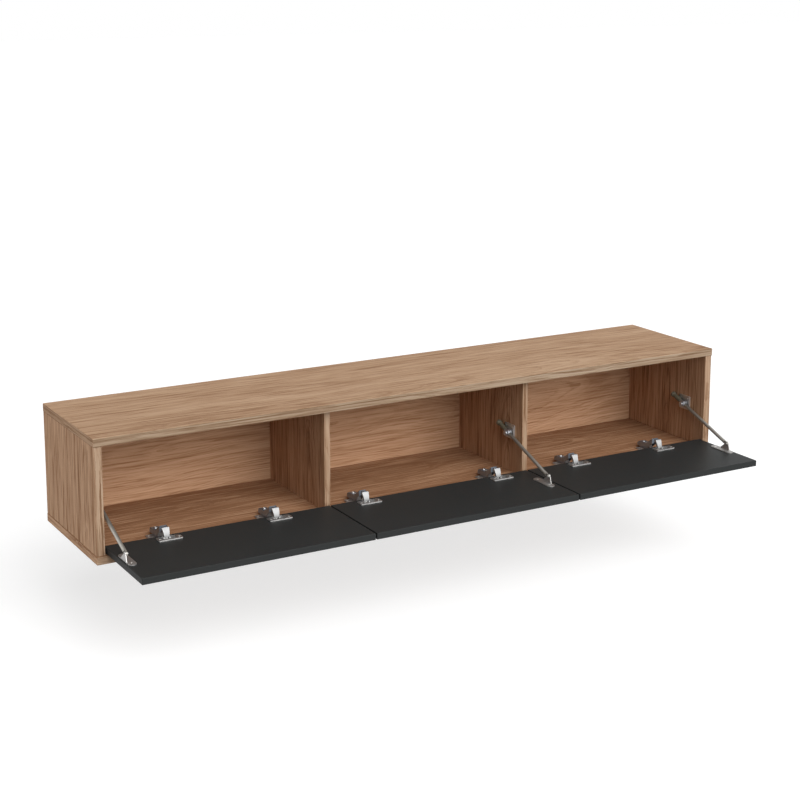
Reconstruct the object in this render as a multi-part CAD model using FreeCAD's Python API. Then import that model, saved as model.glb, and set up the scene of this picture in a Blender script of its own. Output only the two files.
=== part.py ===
import FreeCAD, Part
import math
import os

# Wall-hung media console: a carcass of veneered boards in three bays. A drop-down flap closes
# each bay, on two concealed cup hinges and one braked flap stay.
#
# Millimetres. X runs from left to right, Y from the front to the wall, Z up. The origin is the
# middle of the wall rail's rear face. The flaps stand open, level, at 90 degrees.

# ---- carcass
width = 1800.0
height = 300.0
depth = 360.0
board = 20.0                # top, bottom and sides
divider_board = 16.0
back_board = 8.0
side_inset = 1.0            # the sides stand in from the ends of the top and bottom
side_setback = 2.0          # and back from their front edges
divider_setback = 27.0
back_recess = 12.0          # hollow between the back panel and the wall
groove_depth = 6.0
groove_clearance = 0.2
board_arris = 1.0

# ---- dowels in the corner joints
dowel_radius = 4.0
dowel_in_board = 12.0
dowel_in_upright = 22.0
dowel_clearance = 0.05
dowel_rows = 3
dowel_margin = 60.0

# ---- flaps
flap_board = 16.0
flap_side_gap = 2.5
flap_between_gap = 3.5
flap_bottom_gap = 2.5
finger_gap = 20.0           # the open strip above a closed flap
flap_arris = 1.5
open_angle = 90.0
open_clearance = 3.0        # an open flap lies this far above the bottom panel
outer_hinge_from_end = 149.0
middle_hinge_from_end = 95.0

# ---- cup hinge
pole_under_inner_face = 9.75   # the flap turns about this line, inside its own thickness
cup_above_pole = 14.75
cup_radius = 17.5
cup_wall = 0.8
cup_depth = 12.5
cup_fit = 0.05
rim_width = 1.0
rim_thickness = 0.6
flange_length = 60.0
flange_below = 6.0
flange_thickness = 2.5
flange_corner = 3.0
cup_screw_spacing = 48.0
cup_screw_above = 9.5

outer_angle = 77.0          # direction of the outer link's fixed pivot, seen from the pole
outer_reach = 27.5
inner_angle = 69.0
inner_reach = 23.3
cup_pin_reach = 5.0         # both cup pivots, from the pole
link_foot_half_width = 5.9
link_top_half_width = 9.0
link_top_corner = 2.2       # narrower again at the very top
link_sheet = 1.4
link_bow = 2.0
outer_front = 4.6
outer_end = 3.0
outer_foot = 2.0
outer_foot_front = 3.2
stub_length = 1.7
stub_radius = 1.2
ear_play = 1.9              # between the stub and its hole in the cup's ear
ear_gap = 0.9
ear_thickness = 1.2
ear_rim = 1.5
inner_link_half_width = 2.8
inner_link_top = 2.2
inner_link_foot = 1.5
inner_link_bow = 2.5
pivot_clearance = 0.05
outer_pin_radius = 1.5
inner_pin_radius = 1.2

arm_half_width = 9.5
arm_nose_half_width = 4.9
arm_sheet = 1.6
arm_nose_radius = 2.9
arm_crown = 3.9             # top of the bridge, above the outer pivot
arm_length = 76.0
arm_step = 6.5              # behind the outer pivot, as the next two
arm_bend_start = 10.0
arm_bend_end = 42.0
arm_under_step = 6.0
arm_heel_height = 18.5      # top of the rear part, above the bottom panel
arm_heel_radius = 8.0
arm_seat_height = 5.5       # its lower edge, above the bottom panel
arm_nose_length = 7.0
arm_taper_length = 4.0

plate_span = 52.0
plate_wing_depth = 17.0
plate_wing_thickness = 3.0
plate_wing_corner = 5.5
plate_rail_half_width = 6.0
plate_rail_length = 38.0
plate_screw_half_spacing = 19.0
plate_behind_arm_front = 56.0   # wings' middle, behind the outer pivot

# ---- countersunk screws
screw_radius = 1.75
screw_head_radius = 3.4
screw_head_height = 1.7
screw_length = 13.0
screw_clearance = 0.05

# ---- flap stay
rod_radius = 4.6
rod_length = 250.0
rod_offset = 10.0           # rod's centre line, from the upright's face
rod_eye_radius = 5.0
rod_eye_half_thickness = 1.5
rod_neck = 8.0              # the bar is round from here on
end_cap_radius = 7.8
end_cap_length = 10.0
end_cap_wall = 1.5
end_cap_edge = 2.0
sleeve_radius = 5.9          # the cap runs on towards the block as a sleeve
sleeve_clearance = 5.764     # between the sleeve and the block when the flap is open
stay_pivot_height = 19.0    # lower pivot, above the flap's inner face
stay_pivot_from_edge = 123.0
stay_plate_length = 80.0
stay_plate_width = 20.0
stay_plate_thickness = 2.0
stay_plate_flat = 0.2       # left straight across each rounded end
stay_plate_shift = 9.5      # pivot, ahead of the plate's middle
stay_lug_thickness = 2.0
stay_lug_gap = 0.5
stay_lug_behind = 28.0
stay_lug_ahead = 11.0
stay_rivet_radius = 2.0
stay_rivet_head_radius = 3.4
stay_rivet_head_height = 1.2
stay_screw_half_spacing = 27.0

block_from_front = 78.0
block_above_floor = 108.0
block_radius = 9.0
block_length = 13.5
block_standoff = 1.0
block_edge = 0.8
rod_bore_clearance = 0.9
bracket_thickness = 2.0
bracket_length = 46.0
bracket_height = 40.0
bracket_ahead = 17.0
bracket_below = 18.0
bracket_corner = 4.0
bracket_lip = 3.0
bracket_screw_inset = 8.0
bracket_screw_behind_lip = 10.0
swivel_pin_radius = 3.0
swivel_pin_length = 3.0
brake_screw_radius = 2.5
brake_neck = 1.2
brake_head_radius = 7.0
brake_head_height = 4.5
brake_head_edge = 1.0
brake_slot = 1.6
brake_slot_depth = 2.0

# ---- hanging rails
rail_sheet = 2.0
wall_rail_length = 1500.0
cabinet_rail_length = 1560.0
rail_drop = 70.0            # the origin lies this far under the console's top
wall_rail_below = 20.0
wall_rail_above = 8.0
wall_rail_lip = 16.0
rail_joggle = 3.5
cabinet_rail_flange = 21.0
cabinet_rail_lip = 11.0
rail_gap = 0.3
rail_hole_radius = 3.0
rail_hole_height = -6.0
rail_hole_outer = 700.0
rail_hole_inner = 230.0
rail_screw_radius = 2.0
rail_screw_head_radius = 3.6
rail_screw_length = 28.0     # into the dividers
rail_screw_short = 9.0       # into the back panel alone
rail_screw_outer = 660.0

# ---- how far the tools that cut holes and hollows reach past the shape they cut
overshoot = 1.0

# ---- places worked out from the sizes above
X_AXIS = FreeCAD.Vector(1, 0, 0)
Y_AXIS = FreeCAD.Vector(0, 1, 0)
Z_AXIS = FreeCAD.Vector(0, 0, 1)

front_y = -depth
top_z = rail_drop
base_z = top_z - height
floor_z = base_z + board
ceiling_z = top_z - board
side_outer_x = width / 2 - side_inset
side_inner_x = side_outer_x - board
back_face_y = -back_recess - back_board

face_y = front_y + side_setback
inner_face_y = face_y + flap_board
pole_y = inner_face_y - pole_under_inner_face
pole_z = floor_z + (pole_y - face_y) + open_clearance
cup_z = pole_z + cup_above_pole
flap_low_z = floor_z + flap_bottom_gap
flap_high_z = ceiling_z - finger_gap
flap_width = (2 * side_inner_x - 2 * flap_side_gap - 2 * flap_between_gap) / 3
divider_x = (flap_width + flap_between_gap) / 2

parts = {}


def box(x0, x1, y0, y1, z0, z1):
    return Part.makeBox(x1 - x0, y1 - y0, z1 - z0, FreeCAD.Vector(x0, y0, z0))


def cylinder(radius, start, end):
    """A round bar from start to end."""
    start = FreeCAD.Vector(*start)
    along = FreeCAD.Vector(*end) - start
    return Part.makeCylinder(radius, along.Length, start, along)


def cross_bar(radius, x0, x1, y, z):
    """A round bar that lies along X."""
    return cylinder(radius, (min(x0, x1), y, z), (max(x0, x1), y, z))


def fuse(shapes):
    joined = shapes[0]
    for shape in shapes[1:]:
        joined = joined.fuse(shape)
    return joined.removeSplitter()


def cut(shape, tools):
    for tool in tools:
        shape = shape.cut(tool)
    return shape


def eased(shape, radius):
    """Rounds every edge of a plain board."""
    return shape.makeFillet(radius, shape.Edges)


def side_plate(points, x0, x1):
    """A plate between two X planes, from (y, z) points; a pair of points in one place is an arc
    through the first to the second."""
    edges = []
    here = points[0]
    for step in points[1:]:
        if isinstance(step[0], tuple):
            through, end = step
            edges.append(Part.Arc(vec(here), vec(through), vec(end)).toShape())
            here = end
        else:
            edges.append(Part.LineSegment(vec(here), vec(step)).toShape())
            here = step
    if math.dist(here, points[0]) > 1e-6:
        edges.append(Part.LineSegment(vec(here), vec(points[0])).toShape())
    face = Part.Face(Part.Wire(edges))
    face.translate(FreeCAD.Vector(min(x0, x1), 0, 0))
    return face.extrude(FreeCAD.Vector(abs(x1 - x0), 0, 0))


def vec(point):
    return FreeCAD.Vector(0, point[0], point[1])


def from_pole(angle, reach):
    """(y, z) of a point at that angle and distance from the flap's pole."""
    turn = math.radians(angle)
    return (pole_y + reach * math.cos(turn), pole_z + reach * math.sin(turn))


outer_fixed = from_pole(outer_angle, outer_reach)
outer_moving = from_pole(outer_angle + open_angle / 2, cup_pin_reach)
outer_moving_closed = from_pole(outer_angle - open_angle / 2, cup_pin_reach)
inner_fixed = from_pole(inner_angle, inner_reach)
inner_moving = from_pole(inner_angle + open_angle / 2, cup_pin_reach)


def opened(shape):
    """Turns a piece of the closed flap down to where it stands open."""
    turned = shape.copy()
    turned.rotate(FreeCAD.Vector(0, pole_y, pole_z), X_AXIS, open_angle)
    return turned


def rounded_rectangle(x0, x1, y0, y1, z0, z1, radius, axis):
    """A plate whose four corner edges, parallel to axis, are rounded."""
    plate = box(x0, x1, y0, y1, z0, z1)
    corners = [e for e in plate.Edges if abs(e.tangentAt(e.FirstParameter).dot(axis)) > 0.99]
    return plate.makeFillet(radius, corners)


# ---- screws: a countersunk head flush with the plate, and a plain shank
def screw(x, y, z, direction, spare=0.0, radius=screw_radius, head=screw_head_radius,
          length=screw_length):
    start = FreeCAD.Vector(x, y, z)
    cone = Part.makeCone(head + spare, radius + spare, screw_head_height, start, direction)
    shank = Part.makeCylinder(radius + spare, length + spare, start, direction)
    return cone.fuse(shank).removeSplitter()


fitting_screw_places = []       # into the carcass: (x, y, z, direction)
flap_screw_places = {"left": [], "middle": [], "right": []}


def screw_holes(places):
    return [screw(*place, spare=screw_clearance) for place in places]


# ---- carcass boards
def dowel_places():
    """(x, y, lower or upper joint) of every dowel."""
    run = (depth - back_recess - back_board) - 2 * dowel_margin
    places = []
    for x in (-side_inner_x - board / 2, -divider_x, divider_x, side_inner_x + board / 2):
        for row in range(dowel_rows):
            y = front_y + dowel_margin + run * row / (dowel_rows - 1)
            places.append((x, y, -1))
            places.append((x, y, 1))
    return places


def dowel(x, y, joint, spare=0.0):
    if joint < 0:
        low, high = floor_z - dowel_in_board, floor_z + dowel_in_upright
    else:
        low, high = ceiling_z - dowel_in_upright, ceiling_z + dowel_in_board
    return cylinder(dowel_radius + spare, (x, y, low - spare), (x, y, high + spare))


def dowel_holes():
    return [dowel(*place, spare=dowel_clearance) for place in dowel_places()]


def back_groove():
    """The room of the back panel's edges, cut into the four boards round it."""
    reach_x = side_inner_x + groove_depth
    return box(-reach_x, reach_x,
               back_face_y - groove_clearance, -back_recess + groove_clearance,
               floor_z - groove_depth, ceiling_z + groove_depth)


def level_board(z0):
    plain = box(-width / 2, width / 2, front_y, 0, z0, z0 + board)
    return cut(eased(plain, board_arris), [back_groove()] + dowel_holes())


def side_board(hand):
    x0, x1 = sorted((hand * side_inner_x, hand * side_outer_x))
    plain = box(x0, x1, face_y, 0, floor_z, ceiling_z)
    upright = [e for e in plain.Edges
               if abs(e.tangentAt(e.FirstParameter).z) > 0.99
               and abs(e.CenterOfMass.y - face_y) < board / 4]
    return cut(plain.makeFillet(board_arris, upright), [back_groove()] + dowel_holes())


def divider(hand):
    x0 = hand * divider_x - divider_board / 2
    plain = box(x0, x0 + divider_board, front_y + divider_setback, back_face_y,
                floor_z, ceiling_z)
    upright = [e for e in plain.Edges
               if abs(e.tangentAt(e.FirstParameter).z) > 0.99
               and abs(e.CenterOfMass.y - front_y - divider_setback) < divider_board / 4]
    return cut(plain.makeFillet(board_arris, upright), dowel_holes())


def back_panel():
    edge_room = groove_depth - groove_clearance
    return box(-side_inner_x - edge_room, side_inner_x + edge_room,
               back_face_y, -back_recess,
               floor_z - edge_room, ceiling_z + edge_room)


parts["top_panel"] = level_board(ceiling_z)
parts["bottom_panel"] = level_board(base_z)
parts["left_side_panel"] = side_board(-1)
parts["right_side_panel"] = side_board(1)
parts["left_divider"] = divider(-1)
parts["right_divider"] = divider(1)
parts["back_panel"] = back_panel()
parts["carcass_dowels"] = Part.makeCompound([dowel(*place) for place in dowel_places()])

# ---- flaps: board, cups and stay bracket are drawn closed, then opened
flap_centres = {
    "left": -(flap_width + flap_between_gap),
    "middle": 0.0,
    "right": flap_width + flap_between_gap,
}
hinge_from_end = {
    "left": outer_hinge_from_end,
    "middle": middle_hinge_from_end,
    "right": outer_hinge_from_end,
}


def hinge_places(flap):
    reach = flap_width / 2 - hinge_from_end[flap]
    return [flap_centres[flap] - reach, flap_centres[flap] + reach]


def flap_board_shape(flap):
    x0 = flap_centres[flap] - flap_width / 2
    plain = box(x0, x0 + flap_width, face_y, inner_face_y, flap_low_z, flap_high_z)
    bores = [cup_bore(x) for x in hinge_places(flap)]
    return cut(eased(plain, flap_arris), bores + screw_holes(flap_screw_places[flap]))


def cup_bore(x):
    return cylinder(cup_radius + cup_fit,
                    (x, inner_face_y - cup_depth - cup_fit, cup_z),
                    (x, inner_face_y + cup_fit, cup_z))


def cup_screws(x):
    z = cup_z + cup_screw_above
    y = inner_face_y + flange_thickness
    return [(x + hand * cup_screw_spacing / 2, y, z, -Y_AXIS) for hand in (-1, 1)]


def cup_ears(x):
    """Two small plates inside the cup, with the wide holes that the outer link's stubs ride in."""
    y, z = outer_moving_closed
    ears = []
    for hand in (-1, 1):
        near = x + hand * (link_foot_half_width + ear_gap)
        far = near + hand * ear_thickness
        radius = stub_radius + ear_play + ear_rim
        eye = cross_bar(radius, near, far, y, z)
        web = box(min(near, far), max(near, far),
                  inner_face_y - cup_depth + cup_wall / 2, y, z - radius, z + radius)
        hole = cross_bar(stub_radius + ear_play, near - hand, far + hand, y, z)
        ears.append(eye.fuse(web).cut(hole))
    return ears


def hinge_cup(x):
    """A pressed cup with a turned rim, under a thicker flange that takes the screws."""
    body = cylinder(cup_radius, (x, inner_face_y - cup_depth, cup_z), (x, inner_face_y, cup_z))
    rim = cylinder(cup_radius + rim_width,
                   (x, inner_face_y, cup_z), (x, inner_face_y + rim_thickness, cup_z))
    flange = rounded_rectangle(x - flange_length / 2, x + flange_length / 2,
                               inner_face_y, inner_face_y + flange_thickness,
                               cup_z - flange_below, cup_z + cup_radius + rim_width,
                               flange_corner, Y_AXIS)
    front = inner_face_y + flange_thickness
    hollow = cylinder(cup_radius - cup_wall,
                      (x, inner_face_y - cup_depth + cup_wall, cup_z), (x, front + overshoot, cup_z))
    shell = cut(fuse([body, rim, flange]), [hollow] + screw_holes(cup_screws(x)))
    within = cylinder(cup_radius - cup_wall / 2,
                      (x, inner_face_y - cup_depth, cup_z), (x, inner_face_y, cup_z))
    return fuse([shell] + [ear.common(within) for ear in cup_ears(x)])


# ---- hinge links and arm, drawn where the open flap holds them


def unit(start, end):
    dy, dz = end[0] - start[0], end[1] - start[1]
    length = math.hypot(dy, dz)
    return (dy / length, dz / length)


def offset(point, direction, distance):
    return (point[0] + direction[0] * distance, point[1] + direction[1] * distance)


def bar_outline(top, foot, top_front, top_end, top_back, foot_front, foot_end, bow):
    """Outline of a link from foot to top: two long arcs and two round ends."""
    along = unit(foot, top)
    ahead = (-along[1], along[0])
    middle = ((top[0] + foot[0]) / 2, (top[1] + foot[1]) / 2)
    front_middle = (top_front + foot_front) / 2 + bow
    back_middle = (top_back + foot_end) / 2 - bow
    return [
        offset(foot, ahead, foot_front),
        (offset(middle, ahead, front_middle), offset(top, ahead, top_front)),
        (offset(top, along, top_end), offset(top, ahead, -top_back)),
        (offset(middle, ahead, -back_middle), offset(foot, ahead, -foot_end)),
        (offset(foot, along, -foot_end), offset(foot, ahead, foot_front)),
    ]


def link_taper(x, half_foot, half_pin):
    """A prism that the outer link is cut to, seen from the front: it widens from the foot to the
    pin, and narrows again above it."""
    along = FreeCAD.Vector(0, *unit(outer_moving, outer_fixed))
    ahead = X_AXIS.cross(along)
    foot = FreeCAD.Vector(x, *outer_moving)
    span = math.dist(outer_moving, outer_fixed)
    widening = (half_pin - half_foot) / span
    below = -2 * outer_end
    right = [(half_foot + widening * below, below), (half_pin, span),
             (half_pin - link_top_corner, span + outer_end),
             (half_pin - link_top_corner, span + 2 * outer_end)]
    left = [(-half, reach) for half, reach in reversed(right)]
    corners = [foot + X_AXIS * half + along * reach - ahead * span
               for half, reach in right + left + right[:1]]
    return Part.Face(Part.makePolygon(corners)).extrude(ahead * (2 * span))


def outer_link(x):
    """A channel pressed from sheet, wider at the top: a web in front and a cheek on each side of
    the arm's nose."""
    outline = bar_outline(outer_fixed, outer_moving, outer_front, outer_end, outer_end,
                          outer_foot_front, outer_foot, link_bow)
    full = side_plate(outline, x - 2 * link_top_half_width, x + 2 * link_top_half_width)
    solid = full.common(link_taper(x, link_foot_half_width, link_top_half_width))
    wedge = link_taper(x, link_foot_half_width - link_sheet, link_top_half_width - link_sheet)
    along = FreeCAD.Vector(0, *unit(outer_moving, outer_fixed))
    back = X_AXIS.cross(along) * -link_sheet
    beyond = along * (2 * outer_end)
    rooms = [full.translated(shift).common(wedge)
             for shift in (back, back + beyond, back - beyond, back * 3)]
    pin_hole = cross_bar(outer_pin_radius + pivot_clearance, x - 2 * link_top_half_width,
                         x + 2 * link_top_half_width, *outer_fixed)
    stubs = [cross_bar(stub_radius, x + hand * (link_foot_half_width - link_sheet),
                       x + hand * (link_foot_half_width + stub_length), *outer_moving)
             for hand in (-1, 1)]
    return fuse([cut(solid, rooms + [pin_hole])] + stubs)


def inner_link(x):
    """A flat bar between the arm's cheeks."""
    outline = bar_outline(inner_fixed, inner_moving, inner_link_top, inner_link_top,
                          inner_link_top, inner_link_foot, inner_link_foot, inner_link_bow)
    solid = side_plate(outline, x - inner_link_half_width, x + inner_link_half_width)
    return solid.cut(cross_bar(inner_pin_radius + pivot_clearance,
                               x - arm_half_width, x + arm_half_width, *inner_fixed))


arm_front_y = outer_fixed[0]
arm_nose_top_z = outer_fixed[1] + arm_nose_radius
arm_top_z = outer_fixed[1] + arm_crown
arm_heel_z = floor_z + arm_heel_height
arm_seat_z = floor_z + arm_seat_height
arm_end_y = arm_front_y + arm_length


def arm_outline():
    """The arm from the side: a round nose, a high bridge, a slope and a round heel."""
    nose = outer_fixed
    under_y = inner_fixed[0] + inner_link_top
    under_z = inner_fixed[1] - inner_link_top
    heel_reach = arm_heel_radius * math.sqrt(0.5)
    return [
        (nose[0], arm_nose_top_z),
        (arm_front_y + arm_step, arm_nose_top_z),
        (arm_front_y + arm_step + arm_sheet, arm_top_z),
        (arm_front_y + arm_bend_start, arm_top_z),
        (arm_front_y + arm_bend_end, arm_heel_z),
        (arm_end_y - arm_heel_radius, arm_heel_z),
        ((arm_end_y - arm_heel_radius + heel_reach, arm_heel_z - arm_heel_radius + heel_reach),
         (arm_end_y, arm_heel_z - arm_heel_radius)),
        (arm_end_y, arm_seat_z),
        (arm_front_y + arm_bend_end - arm_under_step, arm_seat_z),
        (under_y + arm_sheet, under_z),
        (nose[0], under_z),
        (nose[0], nose[1] - arm_nose_radius),
        ((nose[0] - arm_nose_radius, nose[1]), (nose[0], arm_nose_top_z)),
    ]


def arm_plan(half_nose, half_heel, x, z0, z1):
    """The arm from above: a narrow nose that widens to the heel."""
    start = arm_front_y - 2 * arm_nose_radius
    neck = arm_front_y + arm_nose_length
    shoulder = neck + arm_taper_length
    end = arm_end_y + overshoot
    corners = [(-half_nose, start), (half_nose, start), (half_nose, neck),
               (half_heel, shoulder), (half_heel, end), (-half_heel, end),
               (-half_heel, shoulder), (-half_nose, neck), (-half_nose, start)]
    wire = Part.makePolygon([FreeCAD.Vector(x + cx, cy, z0) for cx, cy in corners])
    return Part.Face(wire).extrude(FreeCAD.Vector(0, 0, z1 - z0))


def hinge_arm(x):
    """A channel, open below, with both fixed pins across its nose."""
    profile = side_plate(arm_outline(), x - arm_half_width, x + arm_half_width)
    low, high = arm_seat_z - overshoot, arm_top_z + overshoot
    body = profile.common(arm_plan(arm_nose_half_width, arm_half_width, x, low, high))
    under = profile.translated(FreeCAD.Vector(0, 0, -arm_sheet))
    deeper = under.translated(FreeCAD.Vector(0, 0, -3 * arm_sheet))
    room = fuse([under, deeper]).common(
        arm_plan(arm_nose_half_width - arm_sheet, arm_half_width - arm_sheet, x, low, high))
    pins = [cross_bar(outer_pin_radius, x - link_top_half_width, x + link_top_half_width,
                      *outer_fixed),
            cross_bar(inner_pin_radius, x - arm_nose_half_width, x + arm_nose_half_width,
                      *inner_fixed)]
    return fuse([body.cut(room)] + pins)


plate_y = arm_front_y + plate_behind_arm_front


def plate_screws(x):
    z = floor_z + plate_wing_thickness
    return [(x + hand * plate_screw_half_spacing, plate_y, z, -Z_AXIS) for hand in (-1, 1)]


def mounting_plate(x):
    """Two screwed wings and the rail that the arm sits over."""
    wings = rounded_rectangle(x - plate_span / 2, x + plate_span / 2,
                              plate_y - plate_wing_depth / 2, plate_y + plate_wing_depth / 2,
                              floor_z, floor_z + plate_wing_thickness,
                              plate_wing_corner, Z_AXIS)
    rail_end = arm_end_y - arm_heel_radius
    rail = box(x - plate_rail_half_width, x + plate_rail_half_width,
               rail_end - plate_rail_length, rail_end,
               floor_z, arm_heel_z - arm_sheet)
    return cut(fuse([wings, rail]), screw_holes(plate_screws(x)))


for flap in flap_centres:
    pair = hinge_places(flap)
    for number, x in enumerate(pair, start=1):
        name = f"{flap}_flap_hinge_{number}"
        parts[f"{name}_cup"] = opened(hinge_cup(x))
        parts[f"{name}_arm"] = hinge_arm(x)
        parts[f"{name}_mounting_plate"] = mounting_plate(x)
        flap_screw_places[flap] += cup_screws(x)
        fitting_screw_places.extend(plate_screws(x))
    parts[f"{flap}_flap_outer_links"] = Part.makeCompound([outer_link(x) for x in pair])
    parts[f"{flap}_flap_inner_links"] = Part.makeCompound([inner_link(x) for x in pair])

# ---- flap stays: the face that each bracket is screwed to, and the way into the bay from it
stay_faces = {
    "left": (-side_inner_x, 1),
    "middle": (divider_x - divider_board / 2, -1),
    "right": (side_inner_x, -1),
}
block_y = front_y + block_from_front
block_z = floor_z + block_above_floor
pivot_y = inner_face_y + stay_pivot_height
pivot_z = flap_low_z + stay_pivot_from_edge
rod_near = rod_offset - rod_eye_half_thickness
lug_far = rod_near - stay_lug_gap
lug_near = lug_far - stay_lug_thickness


def open_pivot():
    """(y, z) of the stay's lower pivot when the flap is open."""
    point = opened(Part.Vertex(0, pivot_y, pivot_z)).Point
    return (point.y, point.z)


def rod_direction():
    return unit(open_pivot(), (block_y, block_z))


def along_rod(distance, x):
    y, z = offset(open_pivot(), rod_direction(), distance)
    return (x, y, z)


def block_reach():
    """From the stay's lower pivot to the middle of the block, when the flap is open."""
    return math.hypot(open_pivot()[0] - block_y, open_pivot()[1] - block_z)


def flap_bracket_screws(face, hand):
    x = face + hand * (lug_near + stay_plate_width / 2)
    y = inner_face_y + stay_plate_thickness
    middle = pivot_z - stay_plate_shift
    return [(x, y, middle + step * stay_screw_half_spacing, -Y_AXIS) for step in (-1, 1)]


def flap_bracket(face, hand):
    """A long round-ended plate with a folded lug, and the rivet that carries the rod's eye."""
    x0, x1 = sorted((face + hand * lug_near, face + hand * (lug_near + stay_plate_width)))
    middle = pivot_z - stay_plate_shift
    plate = rounded_rectangle(x0, x1, inner_face_y, inner_face_y + stay_plate_thickness,
                              middle - stay_plate_length / 2, middle + stay_plate_length / 2,
                              stay_plate_width / 2 - stay_plate_flat, Y_AXIS)
    foot = inner_face_y + stay_plate_thickness / 2
    lug = side_plate([
        (foot, pivot_z - stay_lug_behind),
        (foot, pivot_z + stay_lug_ahead),
        (pivot_y, pivot_z + rod_eye_radius),
        ((pivot_y + rod_eye_radius, pivot_z), (pivot_y, pivot_z - rod_eye_radius)),
    ], face + hand * lug_near, face + hand * lug_far)
    head_start = rod_offset + rod_eye_half_thickness + stay_lug_gap
    head_end = head_start + stay_rivet_head_height
    rivet = cross_bar(stay_rivet_radius, face + hand * lug_near, face + hand * head_end,
                      pivot_y, pivot_z)
    head = cross_bar(stay_rivet_head_radius, face + hand * head_start, face + hand * head_end,
                     pivot_y, pivot_z)
    return cut(fuse([plate, lug, rivet, head]), screw_holes(flap_bracket_screws(face, hand)))


def stay_rod(face, hand):
    """A round bar with a flattened eye at its lower end."""
    x = face + hand * rod_offset
    bar = cylinder(rod_radius, along_rod(rod_neck, x), along_rod(rod_length, x))
    y, z = open_pivot()
    eye = cross_bar(rod_eye_radius, x - rod_eye_half_thickness, x + rod_eye_half_thickness, y, z)
    reach = rod_neck + rod_radius
    tongue = box(x - rod_eye_half_thickness, x + rod_eye_half_thickness, y, y + reach,
                 z - rod_radius, z + rod_radius)
    slope = math.degrees(math.atan2(rod_direction()[1], rod_direction()[0]))
    tongue.rotate(FreeCAD.Vector(x, y, z), X_AXIS, slope)
    hole = cross_bar(stay_rivet_radius + pivot_clearance, x - rod_offset, x + rod_offset, y, z)
    return cut(fuse([bar, eye, tongue]), [hole])


def end_cap(face, hand):
    """A moulded cap pushed on to the rod's upper end, with a sleeve that ends short of the block."""
    x = face + hand * rod_offset
    end = rod_length + end_cap_wall
    start = end - end_cap_length
    cap = cylinder(end_cap_radius, along_rod(start, x), along_rod(end, x))
    edges = [e for e in cap.Edges if isinstance(e.Curve, Part.Circle)]
    cap = cap.makeChamfer(end_cap_edge, edges)
    sleeve_start = block_reach() + block_radius + sleeve_clearance
    sleeve = cylinder(sleeve_radius, along_rod(sleeve_start, x), along_rod(end, x))
    bore = cylinder(rod_radius + pivot_clearance,
                    along_rod(sleeve_start - overshoot, x),
                    along_rod(rod_length + pivot_clearance, x))
    return fuse([cap, sleeve.common(cylinder(sleeve_radius, along_rod(sleeve_start, x),
                                             along_rod(end - end_cap_edge, x)))]).cut(bore)


def bracket_screws(face, hand):
    x = face + hand * bracket_thickness
    front = block_y - bracket_ahead + bracket_screw_behind_lip
    rear = block_y - bracket_ahead + bracket_length - bracket_screw_inset
    low = block_z - bracket_below + bracket_screw_inset
    high = block_z - bracket_below + bracket_height - bracket_screw_inset
    places = [(rear, low), (rear, high), (front, high)]
    return [(x, y, z, X_AXIS * -hand) for y, z in places]


def side_bracket(face, hand):
    """A flat plate with a folded front lip and the pin that the block turns on."""
    x0, x1 = sorted((face, face + hand * bracket_thickness))
    y0, z0 = block_y - bracket_ahead, block_z - bracket_below
    plate = rounded_rectangle(x0, x1, y0, y0 + bracket_length, z0, z0 + bracket_height,
                              bracket_corner, X_AXIS)
    l0, l1 = sorted((face, face + hand * (bracket_thickness + bracket_lip)))
    lip = box(l0, l1, y0, y0 + bracket_thickness,
              z0 + bracket_corner, z0 + bracket_height - bracket_corner)
    pin = cross_bar(swivel_pin_radius, face + hand * bracket_thickness / 2,
                    face + hand * (bracket_thickness + swivel_pin_length), block_y, block_z)
    return cut(fuse([plate, lip, pin]), screw_holes(bracket_screws(face, hand)))


block_near = bracket_thickness + block_standoff


def swivel_block(face, hand):
    """A round block on the bracket's pin, bored across for the rod."""
    body = cross_bar(block_radius, face + hand * block_near,
                     face + hand * (block_near + block_length), block_y, block_z)
    body = body.makeChamfer(block_edge, [e for e in body.Edges if isinstance(e.Curve, Part.Circle)])
    x = face + hand * rod_offset
    reach = block_reach()
    bore = cylinder(rod_radius + rod_bore_clearance, along_rod(reach - 2 * block_radius, x),
                    along_rod(reach + 2 * block_radius, x))
    pin_hole = cross_bar(swivel_pin_radius + pivot_clearance, face + hand * block_near,
                         face + hand * (bracket_thickness + swivel_pin_length + pivot_clearance),
                         block_y, block_z)
    brake_hole = cross_bar(brake_screw_radius + pivot_clearance, face + hand * rod_offset,
                           face + hand * (block_near + block_length), block_y, block_z)
    return cut(body, [bore, pin_hole, brake_hole])


def brake_screw(face, hand):
    """The slotted screw that presses the brake lining on to the rod."""
    start = rod_offset + rod_radius + rod_bore_clearance
    head_start = block_near + block_length + brake_neck
    shank = cross_bar(brake_screw_radius, face + hand * start, face + hand * head_start,
                      block_y, block_z)
    head = cross_bar(brake_head_radius, face + hand * head_start,
                     face + hand * (head_start + brake_head_height), block_y, block_z)
    head = head.makeChamfer(brake_head_edge,
                            [e for e in head.Edges if isinstance(e.Curve, Part.Circle)])
    top = head_start + brake_head_height
    s0, s1 = sorted((face + hand * (top - brake_slot_depth), face + hand * (top + overshoot)))
    slot = box(s0, s1, block_y - brake_head_radius, block_y + brake_head_radius,
               block_z - brake_slot / 2, block_z + brake_slot / 2)
    return cut(fuse([shank, head]), [slot])


for flap, (face, hand) in stay_faces.items():
    parts[f"{flap}_stay_flap_bracket"] = opened(flap_bracket(face, hand))
    parts[f"{flap}_stay_rod"] = stay_rod(face, hand)
    parts[f"{flap}_stay_end_cap"] = end_cap(face, hand)
    parts[f"{flap}_stay_side_bracket"] = side_bracket(face, hand)
    parts[f"{flap}_stay_swivel_block"] = swivel_block(face, hand)
    parts[f"{flap}_stay_brake_screw"] = brake_screw(face, hand)
    flap_screw_places[flap] += flap_bracket_screws(face, hand)
    fitting_screw_places.extend(bracket_screws(face, hand))

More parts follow.
